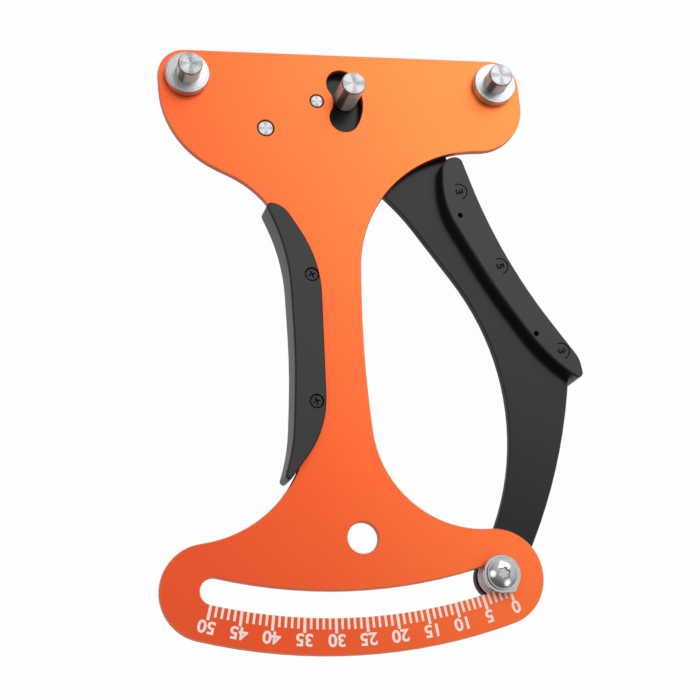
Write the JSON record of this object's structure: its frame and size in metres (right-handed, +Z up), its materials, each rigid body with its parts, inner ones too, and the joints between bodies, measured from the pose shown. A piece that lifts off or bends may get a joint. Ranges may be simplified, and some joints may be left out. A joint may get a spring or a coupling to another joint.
{
  "type": "spoke tension meter",
  "caption": "Flat plate gauge that measures bicycle spoke tension: fixed posts and a sprung lever's post bend a spoke, and a pointer on the lever's end reads a curved scale.",
  "frame": {"origin": "On the floor under the middle of the tool, which lies flat with its printed face up.", "axes": "+Z points up out of the plate's printed face, +Y runs from the scale to the posts, and +X runs from the plate's own grip towards the lever's grip."},
  "size_m": [0.142, 0.198, 0.0217],
  "materials": {
    "orange_anodised": "satin orange anodised",
    "turned_steel": "bright turned",
    "plated_steel": "bright plated",
    "black_coat": "satin black coat",
    "black_plastic": "fine matte",
    "black_screw": "blackened steel",
    "bronze": "plain sintered bronze"
  },
  "bodies": {
    "frame": {"body_plate": "orange_anodised", "fixed_post_left": "turned_steel", "fixed_post_right": "turned_steel", "fixed_post_screw_left": "plated_steel", "fixed_post_screw_right": "plated_steel", "left_grip": "black_plastic", "left_grip_screw_upper": "black_screw", "left_grip_screw_lower": "black_screw", "pivot_pin": "turned_steel", "spring_anchor_pin": "turned_steel", "return_spring": "plated_steel"},
    "lever": {"lever_arm": "black_coat", "moving_post": "turned_steel", "moving_post_screw": "plated_steel", "pivot_bushing": "bronze", "pivot_washer": "plated_steel", "spring_stud": "turned_steel", "right_grip": "black_plastic", "right_grip_screw_upper": "black_screw", "right_grip_screw_lower": "black_screw", "pointer_spacer": "plated_steel", "pointer_bushing": "plated_steel", "pointer": "plated_steel", "pointer_screw": "plated_steel", "pointer_nut": "plated_steel"}
  },
  "joints": [
    {"name": "lever_squeeze", "type": "hinge", "parent": "frame", "child": "lever", "pos_m": [-0.0088, 0.08109, 0.00675], "axis": [0, 0, -1], "range_deg": [0, 31.5], "stiffness_Nm_per_rad": 0.6, "springref_deg": -14.32, "deforming": ["return_spring"]}
  ]
}
